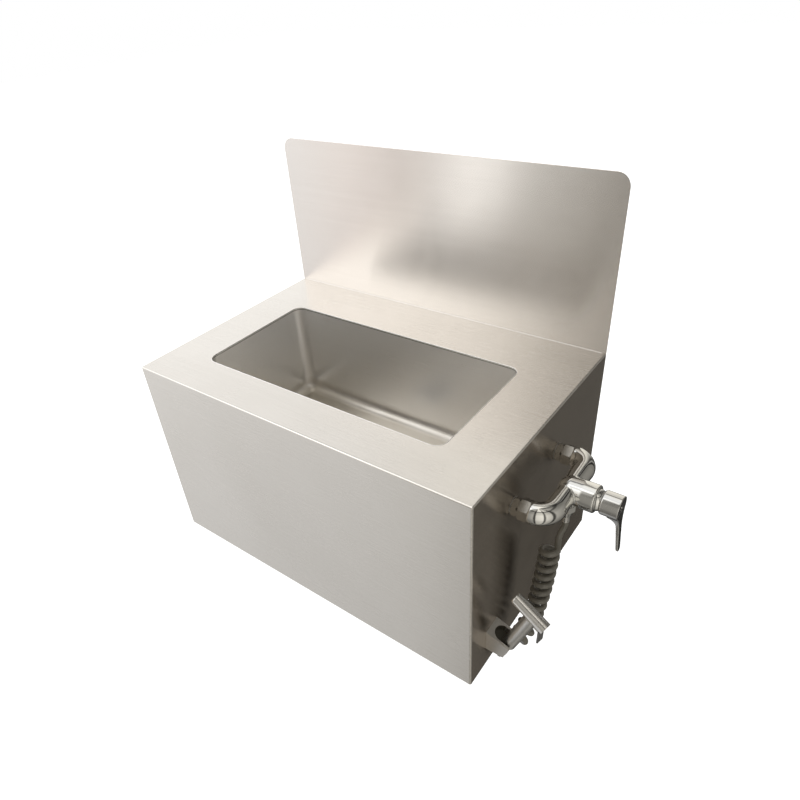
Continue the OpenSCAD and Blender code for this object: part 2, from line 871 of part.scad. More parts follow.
// Hose and its fittings

module outlet_hose_nut() {
    color("lightgray") at_mixer() translate([0, 0, -boss_down - hose_nut_t]) difference() {
        union() {
            translate([0, 0, hose_nut_t / 2]) cylinder(r = hose_nut_r, h = hose_nut_t / 2, $fn = 6);
            cylinder(r1 = ferrule_r + 1.5, r2 = boss_r - 1, h = hose_nut_t / 2);
        }
        translate([0, 0, -cut]) cylinder(r = hose_d / 2 - 1, h = hose_nut_t + 2 * cut);
    }
}

module hose_ferrule() {
    color("silver") at_mixer() translate([0, 0, -boss_down - hose_nut_t - ferrule_t])
        ring(ferrule_r, hose_d / 2 - 1, ferrule_t);
}

// One unbroken tube along the route, with a flat face at each end
module spiral_hose() {
    rows = len(hose_rings);
    body = [
        for (i = [0 : rows - 2], k = [0 : hose_sides - 1])
            let (a = i * hose_sides + k, b = i * hose_sides + (k + 1) % hose_sides)
            each [[a, b, a + hose_sides], [b, b + hose_sides, a + hose_sides]]
    ];
    last = (rows - 1) * hose_sides;
    ends = [for (k = [1 : hose_sides - 2]) each [[0, k + 1, k], [last, last + k, last + k + 1]]];
    color("gray") placed()
        polyhedron(points = [for (row = hose_rings) each row], faces = concat(body, ends));
}

// Holder for the hand spray

function holder_screw_ys() = [holder_y - holder_w / 4, holder_y + holder_w / 4];
function holder_screw_z() = (holder_up + holder_low) / 2 - 8;

module spray_holder() {
    reach = holder_l * tilt_x;
    drop = holder_l * tilt_z;
    color("silver") difference() {
        placed() translate([panel_x, holder_y + holder_w / 2, 0]) rotate([90, 0, 0])
            linear_extrude(holder_w) polygon([
                [0, holder_up], [reach, holder_up - drop],
                [reach - holder_end * tilt_z, holder_low], [0, holder_low]
            ]);
        at_slope() {
            translate([seat_in, 0, -seat_deep]) cylinder(r = seat_r, h = seat_deep + cut);
            translate([seat_in, -seat_r, -seat_deep]) cube([holder_l, 2 * seat_r, seat_deep + cut]);
            translate([spray_in, 0, -2 * holder_l]) cylinder(r = slot_r, h = 2 * holder_l);
            translate([spray_in, -slot_r, -2 * holder_l]) cube([holder_l, 2 * slot_r, 2 * holder_l]);
        }
        for (y = holder_screw_ys()) placed()
            translate([panel_x - cut, y, holder_screw_z()]) cyl_x(screw_m, 9 + cut);
    }
}

module holder_screws() {
    for (y = holder_screw_ys()) color("silver") placed() translate([panel_x, y, holder_screw_z()]) {
        translate([-sheet - 2.5, 0, 0]) cyl_x(screw_m + 2, 2.5);
        translate([-sheet, 0, 0]) cyl_x(screw_m, sheet + 8.5);
    }
}

// Hand spray

module spray_handle() {
    color("silver") at_spray() difference() {
        union() {
            translate([0, 0, foot_z]) cylinder(r1 = grip_r - foot_edge, r2 = grip_r, h = foot_edge);
            translate([0, 0, foot_z + foot_edge])
                cylinder(r = grip_r, h = grip_l - grip_shoulder - foot_z - foot_edge);
            translate([0, 0, -neck_l]) cylinder(r = neck_r, h = neck_l + foot_z + 1);
        }
        translate([-grip_l / 2, 0, grip_l]) cyl_x(barrel_r, grip_l);
        translate([0, 0, -neck_l + 8]) cylinder(r = grip_bore - 1.5, h = neck_l + foot_z);
        translate([0, 0, foot_z + 8]) cylinder(r = grip_bore, h = grip_l);
        translate([0, 0, -neck_l - cut]) cylinder(r = grip_bore - 1.5, h = 10 + cut);
        translate([0, 0, plunger_z]) cyl_x(plunger_r + play, 2 * grip_r);
    }
}

module spray_barrel() {
    color("silver") at_spray() translate([0, 0, grip_l]) difference() {
        translate([-barrel_back, 0, 0]) cyl_x(barrel_r, barrel_back + barrel_front);
        translate([-barrel_back - cut, 0, 0]) cyl_x(barrel_bore, barrel_back + barrel_front);
        translate([barrel_front - nozzle_t, 0, 0]) cyl_x(nozzle_r + 0.1, nozzle_t + cut);
        translate([0, 0, -barrel_r]) cylinder(r = grip_bore, h = barrel_r);
        translate([trigger_x - 4, -lug_w / 2 - gap, -barrel_r - cut])
            cube([9 + cut, lug_w + 2 * gap, lug_deep + cut]);
        translate([trigger_x, -barrel_r, trigger_z - grip_l]) cyl_y(trigger_pin_r, 2 * barrel_r);
    }
}

module spray_nozzle() {
    color("dimgray") at_spray() translate([barrel_front - nozzle_t, 0, grip_l]) difference() {
        cyl_x(nozzle_r, nozzle_t);
        for (row = [[6, 2.6], [12, 5.2]], i = [1 : row[0]])
            rotate([i * 360 / row[0], 0, 0]) translate([-cut, 0, row[1]])
                cyl_x(nozzle_hole, nozzle_t + 2 * cut);
    }
}

module spray_end_cap() {
    color("silver") at_spray() translate([-barrel_back, 0, grip_l]) {
        translate([-cap_t, 0, 0]) rotate([0, 90, 0]) cylinder(r1 = barrel_r - cap_edge_r, r2 = barrel_r, h = cap_t);
        cyl_x(barrel_bore - 0.05, 6);
    }
}

module handle_hose_nut() {
    color("silver") at_spray() translate([0, 0, -neck_l - nut_l]) difference() {
        cylinder(r = nut_r, h = nut_l, $fn = 6);
        translate([0, 0, -cut]) cylinder(r = grip_bore - 1.5, h = nut_l + 2 * cut);
    }
}

module trigger() {
    color("dimgray") at_spray() translate([trigger_x, 0, trigger_z]) difference() {
        union() {
            rotate([0, -trigger_splay, 0]) {
                translate([-trigger_t / 2, -trigger_w / 2, -trigger_l])
                    cube([trigger_t, trigger_w, trigger_l - 4]);
                translate([-trigger_t / 2, -lug_w / 2, -trigger_l / 2])
                    cube([trigger_t, lug_w, trigger_l / 2]);
            }
            translate([0, -lug_w / 2, 0]) cyl_y(trigger_t / 2 + 0.6, lug_w);
        }
        translate([0, -trigger_w, 0]) cyl_y(trigger_pin_r + play, 2 * trigger_w);
    }
}

module trigger_pin() {
    half = sqrt(barrel_r * barrel_r - pow(grip_l - trigger_z, 2)) - 0.4;
    color("silver") at_spray() translate([trigger_x, -half, trigger_z]) cyl_y(trigger_pin_r, 2 * half);
}

module valve_plunger() {
    color("silver") at_spray() translate([0, 0, plunger_z]) {
        translate([-1, 0, 0]) cyl_x(plunger_r, plunger_tip + 1);
        translate([-1, 0, 0]) cyl_x(plunger_collar, 1.5);
    }
}

module valve_spring() {
    color("silver") at_spray() translate([-1 - spring_l, 0, plunger_z])
        rotate([0, 90, 0]) ring(spring_r, spring_r - spring_t, spring_l);
}

deck_and_apron();
left_end_panel();
right_end_panel();
splashback();
bowl();
sound_pad();
upper_wall_rail();
lower_wall_rail();
waste_body();
waste_gasket();
waste_locknut();
strainer_basket();
tailpiece();
tailpiece_washer();
tailpiece_nut();
hot_wall_elbow();
cold_wall_elbow();
panel_washers();
hot_panel_nut();
cold_panel_nut();
hot_union_nut();
cold_union_nut();
inlet_seals();
mixer_body();
cartridge();
cartridge_ring();
stem_carrier();
stem_pin();
lever_stem();
lever_handle();
lever_screw();
index_plug();
outlet_hose_nut();
hose_ferrule();
spiral_hose();
spray_holder();
holder_screws();
spray_handle();
spray_barrel();
spray_nozzle();
spray_end_cap();
handle_hose_nut();
trigger();
trigger_pin();
valve_plunger();
valve_spring();
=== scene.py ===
"""Looks of the wall-mounted wash sink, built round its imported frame. Metres, in the record's frame."""
import math

import bmesh
import bpy
from mathutils import Matrix, Vector

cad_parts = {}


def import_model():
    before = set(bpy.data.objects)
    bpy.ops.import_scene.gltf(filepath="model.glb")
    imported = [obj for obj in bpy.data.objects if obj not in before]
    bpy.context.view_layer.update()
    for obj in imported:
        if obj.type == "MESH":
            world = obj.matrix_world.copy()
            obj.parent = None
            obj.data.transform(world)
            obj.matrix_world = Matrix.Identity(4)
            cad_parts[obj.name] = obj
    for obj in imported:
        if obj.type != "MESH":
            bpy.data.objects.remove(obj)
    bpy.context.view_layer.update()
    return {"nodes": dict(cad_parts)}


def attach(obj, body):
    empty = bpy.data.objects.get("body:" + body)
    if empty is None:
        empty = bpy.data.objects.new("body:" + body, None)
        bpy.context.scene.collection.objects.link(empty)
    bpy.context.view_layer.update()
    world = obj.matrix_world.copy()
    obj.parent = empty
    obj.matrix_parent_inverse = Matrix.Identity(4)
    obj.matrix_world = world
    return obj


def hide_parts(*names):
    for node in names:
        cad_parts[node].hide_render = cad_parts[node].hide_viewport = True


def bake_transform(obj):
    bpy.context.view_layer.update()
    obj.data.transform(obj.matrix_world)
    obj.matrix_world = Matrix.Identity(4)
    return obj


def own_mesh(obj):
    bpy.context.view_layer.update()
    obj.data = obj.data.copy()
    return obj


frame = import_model()

MM = 0.001
ORIGIN_UP = 205 * MM            # the frame's origin above the casing's bottom edge
JOINED = 0.002 * MM             # points nearer than this are one
TINY = 0.01 * MM
DECK_Z = 0.190
MIXER = Vector((0.404, -0.255, 0.100))
SINK = "sink"


def from_edge(x, y, z):
    """A point given in millimetres from the bottom edge, in the frame's metres."""
    return Vector((x * MM, y * MM, z * MM - ORIGIN_UP))


# Camera, fitted to the photograph

SENSOR_MM = 36
LENS_MM = 29.078
LENS_SHIFT = (0.02239, 0.02458)
CAMERA_AT = (0.6532, -0.9782, 0.7688)
CAMERA_SPIN = Vector((2.12446708, 0.66159353, -0.43795604))     # axis times angle


def placed(name, data):
    """A new object in the scene."""
    made = bpy.data.objects.new(name, data)
    bpy.context.scene.collection.objects.link(made)
    return made


def place_camera():
    data = bpy.data.cameras.new("camera")
    data.sensor_width = SENSOR_MM
    data.lens = LENS_MM
    data.shift_x, data.shift_y = LENS_SHIFT
    data.clip_start = 0.02
    data.clip_end = 100
    camera = placed("camera", data)
    turn = Matrix.Rotation(CAMERA_SPIN.length, 3, CAMERA_SPIN.normalized()).transposed()
    right, down, ahead = turn.col
    camera.matrix_world = Matrix((
        (right[0], -down[0], -ahead[0], CAMERA_AT[0]),
        (right[1], -down[1], -ahead[1], CAMERA_AT[1]),
        (right[2], -down[2], -ahead[2], CAMERA_AT[2]),
        (0, 0, 0, 1),
    ))
    bpy.context.scene.camera = camera


place_camera()


# Materials

GRAIN_DEPTH = 0.1 * MM
RIM_SHADOW_Z = 0.1862                 # painted shadow: the dark line under the bowl's rim, where the deck's edge shades the wall
RIM_SHADOW_SHARP = 900.0              # how fast it ends, per metre
LOW_TONE_FADE = 35.0               # how fast the bowl's darker, browner bottom ends, per metre up
LOW_TONE_BASE = 0.3
LOW_TONE_WAVE = 0.8
FINGERMARKS = 0.05


class Value:
    """A socket whose operators add Math nodes."""

    def __init__(self, shader, socket):
        self.shader = shader
        self.socket = socket

    def _math(self, operation, *inputs):
        return self.shader.node("ShaderNodeMath", dict(operation=operation), *inputs)

    def __add__(self, other):
        return self._math("ADD", self, other)

    def __radd__(self, other):
        return self._math("ADD", other, self)

    def __sub__(self, other):
        return self._math("SUBTRACT", self, other)

    def __rsub__(self, other):
        return self._math("SUBTRACT", other, self)

    def __mul__(self, other):
        return self._math("MULTIPLY", self, other)

    def __truediv__(self, other):
        return self._math("DIVIDE", self, other)

    def __abs__(self):
        return self._math("ABSOLUTE", self)

    def clamp(self):
        return self._math("MINIMUM", self._math("MAXIMUM", self, 0.0), 1.0)


class Shader:
    """One node tree, with a method that adds any node."""

    def __init__(self, tree, output):
        self.tree = tree
        self.tree.nodes.clear()
        self.output = self.tree.nodes.new(output)

    def put(self, socket, value):
        if isinstance(value, Value):
            self.tree.links.new(value.socket, socket)
        else:
            socket.default_value = value

    def node(self, kind, settings=None, *inputs, out=0, **named):
        made = self.tree.nodes.new(kind)
        for key, value in (settings or {}).items():
            setattr(made, key, value)
        for i, value in enumerate(inputs):
            self.put(made.inputs[i], value)
        for key, value in named.items():
            self.put(made.inputs[key.replace("_", " ")], value)
        return Value(self, made.outputs[out])

    def ramp(self, value, *stops):
        """A value that follows the stops, each a place from 0 to 1 and its height."""
        made = self.tree.nodes.new("ShaderNodeValToRGB")
        elements = made.color_ramp.elements
        for i, (at, height) in enumerate(stops):
            stop = elements[i] if i < len(elements) else elements.new(at)
            stop.position = at
            stop.color = (height, height, height, 1)
        self.put(made.inputs[0], value)
        return Value(self, made.outputs[0])

    def mix(self, share, a, b):
        """Colour a where the share is 0 and colour b where it is 1."""
        made = self.tree.nodes.new("ShaderNodeMix")
        made.data_type = "RGBA"
        self.put(made.inputs["Factor"], share)
        for name, value in (("A", a), ("B", b)):
            socket = [s for s in made.inputs if s.name == name and s.type == "RGBA"][0]
            self.put(socket, value if isinstance(value, Value) else (*value, 1))
        return Value(self, [s for s in made.outputs if s.type == "RGBA"][0])

    def show(self, surface):
        self.tree.links.new(surface.socket, self.output.inputs["Surface"])


class Finish(Shader):
    """One material."""

    def __init__(self, name):
        self.material = bpy.data.materials.new(name)
        self.material.use_nodes = True
        super().__init__(self.material.node_tree, "ShaderNodeOutputMaterial")

    def place(self):
        return self.node("ShaderNodeTexCoord", out="Object")

    def stretched(self, scale, turn):
        """Object coordinates, turned and then multiplied so that a noise on them runs in streaks."""
        point = dict(vector_type="POINT")
        turned = self.node("ShaderNodeMapping", point, self.place(), Rotation=turn)
        return self.node("ShaderNodeMapping", point, turned, Scale=scale)

    def noise(self, at, scale, detail, rough):
        return self.node("ShaderNodeTexNoise", dict(noise_dimensions="3D"), Vector=at,
                         Scale=scale, Detail=detail, Roughness=rough)

    def bump(self, height, strength):
        return self.node("ShaderNodeBump", None, Strength=strength, Distance=GRAIN_DEPTH, Height=height)

    def surface(self, normal=None, **named):
        made = self.tree.nodes.new("ShaderNodeBsdfPrincipled")
        for key, value in named.items():
            if isinstance(value, tuple) and len(value) == 3:
                value = (*value, 1)
            self.put(made.inputs[key.replace("_", " ")], value)
        if normal:
            self.put(made.inputs["Normal"], normal)
        self.show(Value(self, made.outputs[0]))
        return self.material


def brushed(name, light, dark, grain, rough, relief=0.5, turn=(0, 0, 0), across=0.0, fine=0.05,
            shown=0.45, low_tone=None, line=None, metal=1.0):
    """Brushed steel: streaks along the grain, slow clouds, fingermarks and a sheen drawn out across."""
    f = Finish(name)
    coarse_grain = tuple(g / 9 for g in grain)
    streak = f.noise(f.stretched(grain, turn), scale=1.0, detail=3.0, rough=0.6)
    coarse = f.noise(f.stretched(coarse_grain, turn), scale=1.0, detail=2.0, rough=0.5)
    cloud = f.noise(f.place(), scale=5.0, detail=3.0, rough=0.55)
    wiped = f.noise(f.place(), scale=23.0, detail=2.0, rough=0.5)
    tone = (streak * shown + coarse * 0.25 + cloud * (0.75 - shown) - 0.25) * 2.0
    colour = f.mix(tone.clamp(), dark, light)
    # the bowl turns darker and browner towards its bottom, with a wavy edge
    if low_tone:
        height = f.node("ShaderNodeSeparateXYZ", None, f.place(), out=2)
        clean = height * LOW_TONE_FADE + LOW_TONE_BASE + (cloud - 0.5) * LOW_TONE_WAVE
        colour = f.mix(clean.clamp(), low_tone, colour)
        # painted shadow: a thin dark band on the bowl's wall just under the rim, in place of the deck
        # edge's shadow
        colour = f.mix((1 - abs(height - RIM_SHADOW_Z) * RIM_SHADOW_SHARP).clamp(), colour, line)
    roughness = rough + (streak - 0.5) * fine * 2.0 + (wiped - 0.5) * FINGERMARKS
    return f.surface(f.bump(streak, relief), Base_Color=colour, Metallic=metal,
                     Roughness=roughness, Anisotropic=across, Anisotropic_Rotation=0.25)


def polished(name, light, dark, rough):
    """Bright plating with faint haze where it is touched."""
    f = Finish(name)
    haze = f.noise(f.place(), scale=40.0, detail=3.0, rough=0.6)
    spot = f.noise(f.place(), scale=260.0, detail=1.0, rough=0.5)
    colour = f.mix(haze, dark, light)
    return f.surface(Base_Color=colour, Metallic=1.0, Roughness=rough + haze * 0.05 + spot * 0.02)


def moulded(name, light, dark, rough, grain=900.0, coat=0.0):
    """Moulded plastic or rubber with a fine grain."""
    f = Finish(name)
    fine = f.noise(f.place(), scale=grain, detail=2.0, rough=0.6)
    cloud = f.noise(f.place(), scale=30.0, detail=2.0, rough=0.5)
    return f.surface(f.bump(fine, 0.25), Base_Color=f.mix(cloud, dark, light),
                     Roughness=rough + (cloud - 0.5) * 0.2, Coat_Weight=coat)


LEAN = math.radians(21)
SPRAY_YAW = math.radians(11)
ALONG_X = (4, 2200, 2200)       # streaks per metre in X, Y and Z
ALONG_Y = (2200, 4, 2200)

deck_steel = brushed("deck_steel", (0.76, 0.73, 0.69), (0.67, 0.64, 0.595), ALONG_X, 0.26,
                     relief=0.3, shown=0.3)
wall_steel = brushed("splash_steel", (0.755, 0.725, 0.695), (0.69, 0.655, 0.62), ALONG_X, 0.235,
                     relief=0.02, across=0.98, fine=0.015, shown=0.15)
# painted light: the bowl's steel is a much lighter copy of the deck's steel, so the walls down in the
# bowl look lit; it also carries the painted shadow under the rim
bowl_steel_painted_light_and_shade = brushed("bowl_steel_painted_light_and_shade", (0.98, 0.975, 0.965), (0.92, 0.91, 0.895), ALONG_X, 0.3,
                     relief=0.3, shown=0.3, low_tone=(0.48, 0.445, 0.39), line=(0.16, 0.15, 0.14),
                     metal=0.92)
# painted shade: the end panels are the same sheet steel as the deck, given a darker, browner colour so
# that they look shaded
end_steel_painted_shade = brushed("end_panel_steel_painted_shade", (0.54, 0.485, 0.425), (0.44, 0.39, 0.335), ALONG_Y, 0.25,
                    relief=0.05, across=0.95, fine=0.02, shown=0.2)
rail_steel = brushed("rail_steel", (0.5, 0.49, 0.47), (0.38, 0.37, 0.35), ALONG_X, 0.4)
holder_steel = brushed("holder_steel", (0.66, 0.64, 0.61), (0.54, 0.525, 0.50), ALONG_Y, 0.42)
grip_steel = brushed("grip_steel", (0.72, 0.715, 0.70), (0.60, 0.595, 0.58), (900, 900, 60), 0.36,
                     relief=0.3, turn=(0, -LEAN, 0))
barrel_steel = brushed("barrel_steel", (0.80, 0.785, 0.76), (0.58, 0.565, 0.54), (12, 900, 900), 0.16,
                       relief=0.4, turn=(0, LEAN, SPRAY_YAW))
fitting_steel = brushed("fitting_steel", (0.6, 0.59, 0.57), (0.45, 0.44, 0.42), (90, 90, 90), 0.25,
                        relief=0.12)
rim_steel = polished("rim_steel", (0.93, 0.92, 0.90), (0.86, 0.85, 0.83), 0.3)
chrome = polished("mixer_chrome", (0.66, 0.655, 0.635), (0.56, 0.555, 0.53), 0.05)
lever_chrome = polished("lever_chrome", (0.62, 0.615, 0.60), (0.52, 0.515, 0.50), 0.07)
# painted shade: the nuts' chrome is a darker, browner copy of the mixer's chrome, to dull their
# reflections
nut_chrome_painted_shade = polished("nut_chrome_painted_shade", (0.34, 0.325, 0.295), (0.24, 0.225, 0.20), 0.22)
brass = polished("pipe_brass", (0.72, 0.55, 0.27), (0.58, 0.42, 0.19), 0.22)
washer_fibre = moulded("washer_fibre", (0.21, 0.195, 0.17), (0.15, 0.14, 0.12), 0.6)
rubber = moulded("seal_rubber", (0.035, 0.035, 0.035), (0.02, 0.02, 0.02), 0.6)
pad_rubber = moulded("sound_pad_rubber", (0.06, 0.058, 0.055), (0.035, 0.034, 0.032), 0.75, 400.0)
valve_plastic = moulded("valve_plastic", (0.75, 0.73, 0.68), (0.66, 0.64, 0.6), 0.4)
dark_plastic = moulded("dark_plastic", (0.105, 0.1, 0.092), (0.06, 0.057, 0.052), 0.35, 700.0)
hose_plastic = moulded("hose_plastic", (0.125, 0.113, 0.088), (0.08, 0.072, 0.054), 0.34, 500.0,
                       coat=0.25)
# painted shade: a near-black finish for the inside of the holder's seat
seat_shade = moulded("seat_shade", (0.052, 0.047, 0.03), (0.032, 0.028, 0.018), 0.6, 300.0)


# The hose, on the same route as its solid

SPRAY_UP = Vector((math.sin(LEAN), 0, math.cos(LEAN)))
SPRAY_OUT = Vector((math.cos(LEAN), 0, -math.sin(LEAN)))
HOLDER_TOP = Vector((350, -384, 84.5))      # these sizes are millimetres from the bottom edge
HOLDER_L = 44
HOLDER_END = 29
FOOT_OUT = 38.5
SPRAY_FOOT = HOLDER_TOP + FOOT_OUT * SPRAY_OUT
NECK_PAST = 2
HOSE_TOP = Vector((404, -255, 240))
HOSE_D = 10.4
HOSE_NUT = 10
CURL_R = 12.6
CURLS = 11.5
CURL_POINTS = 20
STEPS = 60                      # on the line through the middle of the curls
BETWEEN = 4                     # points on each span of the plain ends


def hose_route():
    """Points of the hose's middle line in the frame, from the mixer to the hand spray."""
    low = HOLDER_TOP.z - HOLDER_L * math.sin(LEAN) - HOLDER_END * math.cos(LEAN)
    neck_l = (SPRAY_FOOT.z - low) / math.cos(LEAN) + NECK_PAST
    top = HOSE_TOP
    end = SPRAY_FOOT - (neck_l + HOSE_NUT) * SPRAY_UP
    # the plain ends, from the ferrule down and from the curls to the spray
    upper = [(0, 0, 0), (0, 0, -9), (-2, -1, -18), (-4, -4, -27), (-4, -10, -35), (-1, -18, -41)]
    lower = [(-4, 27, -9), (-5, 21, -17), (-5, 14, -20), (-5, 7, -18), (-4, 2, -13)]
    line = [top + Vector((-10, -26, -44)), top + Vector((-12, -35, -140)),
            end + Vector((15, 82, -9)), end + Vector((9, 32, -1))]

    def at(t):
        """A point of the line through the middle of the curls."""
        return sum((w * p for w, p in zip(
            ((1 - t) ** 3, 3 * t * (1 - t) ** 2, 3 * t * t * (1 - t), t ** 3), line)), Vector())

    def along(t):
        """The direction of that line."""
        a, b, c, d = line
        return ((1 - t) ** 2 * (b - a) + 2 * t * (1 - t) * (c - b) + t * t * (d - c)).normalized()

    sums = [0.0]
    for i in range(STEPS):
        sums.append(sums[-1] + (at((i + 1) / STEPS) - at(i / STEPS)).length)

    def even(share):
        """The place on the line that a share of its length reaches."""
        wanted = share * sums[-1]
        i = max(k for k in range(STEPS) if sums[k] <= wanted)
        return (i + min(1, (wanted - sums[i]) / (sums[i + 1] - sums[i]))) / STEPS

    curls = []
    last_point = int(CURLS * CURL_POINTS)
    for i in range(last_point + 1):
        share = i / last_point
        t = even(share)
        ahead = along(t)
        side = (Vector((1, 0, 0)) - ahead[0] * ahead).normalized()
        other = ahead.cross(side)
        angle = share * CURLS * 2 * math.pi
        curls.append(at(t) + CURL_R * (math.cos(angle) * side + math.sin(angle) * other))
    first = smooth([top + Vector(p) for p in upper], curls[:2])
    last = smooth([end + Vector(p) for p in lower] + [end - HOSE_D * SPRAY_UP, end], [], curls[-2:])
    return [from_edge(*p) for p in first + curls + last]


def smooth(points, after, before=()):
    """Points on a smooth curve through the given ones, which leads from or into its neighbours."""
    fine = []
    run = list(before) + points + list(after)
    start, stop = len(before), len(before) + len(points)
    spans = range(start - 1 if before else start, stop if after else stop - 1)
    for i in spans:
        a, b = run[max(i - 1, 0)], run[i]
        c, d = run[min(i + 1, len(run) - 1)], run[min(i + 2, len(run) - 1)]
        for k in range(BETWEEN):
            t = k / BETWEEN
            if before and i == start - 1 and k == 0:
                continue
            fine.append(0.5 * (2 * b + (c - a) * t + (2 * a - 5 * b + 4 * c - d) * t * t
                               + (3 * b - a - 3 * c + d) * t ** 3))
    if not after:
        fine.append(points[-1])
    return fine


def painted(piece, finish):
    """Gives the piece one material."""
    piece.data.materials.clear()
    piece.data.materials.append(finish)
    return piece


def tube(name, points, radius, sides, finish, ring=False):
    """A piece with a closed tube along the points, or a ring of tube."""
    curve = bpy.data.curves.new(name + "_line", "CURVE")
    curve.dimensions = "3D"
    curve.bevel_depth = radius
    curve.bevel_resolution = sides // 4
    curve.use_fill_caps = True
    spline = curve.splines.new("POLY")
    spline.use_cyclic_u = ring
    spline.points.add(len(points) - 1)
    for spot, p in zip(spline.points, points):
        spot.co = (*p, 1)
    maker = placed(name + "_line", curve)
    bpy.context.view_layer.update()
    seen = maker.evaluated_get(bpy.context.evaluated_depsgraph_get())
    mesh = bpy.data.meshes.new_from_object(seen)
    mesh.name = name
    bpy.data.objects.remove(maker)
    bm = bmesh.new()
    bm.from_mesh(mesh)
    bmesh.ops.remove_doubles(bm, verts=bm.verts, dist=JOINED / 2)
    bmesh.ops.recalc_face_normals(bm, faces=bm.faces)
    bm.to_mesh(mesh)
    bm.free()
    mesh.shade_smooth()
    return painted(placed(name, mesh), finish)


def length_of(points):
    return sum((b - a).length for a, b in zip(points, points[1:]))


route = hose_route()
hose = tube("spiral_hose_skin", route, HOSE_D / 2 * MM, sides=16, finish=hose_plastic)
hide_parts("spiral_hose")


# Shapes of rigid pieces

EDGE_R = 0.4 * MM               # rounding of the metal pieces
DECK_EDGE_R = 1.2 * MM
HOLDER_EDGE_R = 0.5 * MM
FLAT = math.radians(0.4)        # faces that turn by less are one


def folds(edge, degrees):
    """Whether the faces on both sides of an edge meet at more than an angle."""
    return edge.is_manifold and edge.calc_face_angle(0) > math.radians(degrees)


def settle(name, bm, finish, body, nodes, sharp=32):
    """Makes the piece, shades it, ties it to its body and hides the nodes it stands for."""
    mesh = bpy.data.meshes.new(name)
    for face in bm.faces:
        face.smooth = True
    for edge in bm.edges:
        edge.smooth = not folds(edge, sharp)
    bm.to_mesh(mesh)
    bm.free()
    piece = painted(placed(name, mesh), finish)
    if nodes:
        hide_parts(*nodes)
    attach(piece, body)
    return piece


def merged(node):
    """A copy of a CAD node with its loose triangles joined and its flat faces whole."""
    bm = bmesh.new()
    bm.from_mesh(frame["nodes"][node].data)
    bmesh.ops.remove_doubles(bm, verts=bm.verts, dist=JOINED)
    bmesh.ops.dissolve_limit(bm, angle_limit=FLAT, verts=bm.verts, edges=bm.edges)
    return bm


def cleaned(bm):
    """Takes out the faces and edges that a cut or a bevel left without size."""
    bmesh.ops.remove_doubles(bm, verts=bm.verts, dist=JOINED)
    bmesh.ops.dissolve_degenerate(bm, dist=JOINED, edges=bm.edges)


def soften(bm, width, over=35, segments=2, where=None):
    """Rounds the edges that fold by more than an angle, and that the test picks."""
    picked = [e for e in bm.edges if folds(e, over) and (where is None or where(e))]
    bmesh.ops.bevel(bm, geom=picked, affect="EDGES", offset=width, offset_type="OFFSET",
                    segments=segments, profile=0.5, material=-1, clamp_overlap=True)
    cleaned(bm)


def remeshed(bm, voxel, rounds):
    """The solid's skin in even small faces, smoothed until its joins run together as a casting's do."""
    mesh = bpy.data.meshes.new("rough")
    bm.to_mesh(mesh)
    bm.free()
    maker = placed("rough", mesh)
    cast = maker.modifiers.new("even", "REMESH")
    cast.mode = "VOXEL"
    cast.voxel_size = voxel
    polish = maker.modifiers.new("polish", "SMOOTH")
    polish.factor = 0.5
    polish.iterations = rounds
    bpy.context.view_layer.update()
    seen = maker.evaluated_get(bpy.context.evaluated_depsgraph_get())
    fine = bmesh.new()
    fine.from_mesh(seen.to_mesh())
    seen.to_mesh_clear()
    bpy.data.objects.remove(maker)
    return fine


def weigh(piece):
    """Large flat faces keep their own normals beside small rounded ones."""
    weights = piece.modifiers.new("weights", "WEIGHTED_NORMAL")
    weights.keep_sharp = True


def dressed(node, finish, body):
    """A CAD node with its edges rounded."""
    bm = merged(node)
    soften(bm, EDGE_R)
    weigh(settle(node + "_skin", bm, finish, body, [node]))


def deck():
    """The deck and apron, with the edge round the bowl's opening rounded."""
    bm = merged("deck_and_apron")

    def at_opening(edge):
        return all(abs(v.co.z - DECK_Z) < TINY and abs(v.co.x) < 0.30 and -0.40 < v.co.y < -0.10
                   for v in edge.verts)

    soften(bm, DECK_EDGE_R, over=60, segments=3, where=at_opening)
    weigh(settle("deck_sheet", bm, deck_steel, SINK, ["deck_and_apron"]))


BOWL_MID = Vector((-0.005, -0.243, 0))
BOWL_HALF = (0.255, 0.125)
BOWL_R = 0.020
BOWL_LOW = -0.010
BOWL_TOP = 0.1885
BOWL_RIM = 0.009
BOWL_SHEET = 0.0012
DRAIN_R = 0.0305


def rim_side(point):
    """Direction out of the bowl, level, at a point of its wall."""
    near = Vector((
        max(-BOWL_HALF[0] + BOWL_R, min(BOWL_HALF[0] - BOWL_R, point.x - BOWL_MID.x)),
        max(-BOWL_HALF[1] + BOWL_R, min(BOWL_HALF[1] - BOWL_R, point.y - BOWL_MID.y)), 0))
    away = point - BOWL_MID - near
    away.z = 0
    return away.normalized()


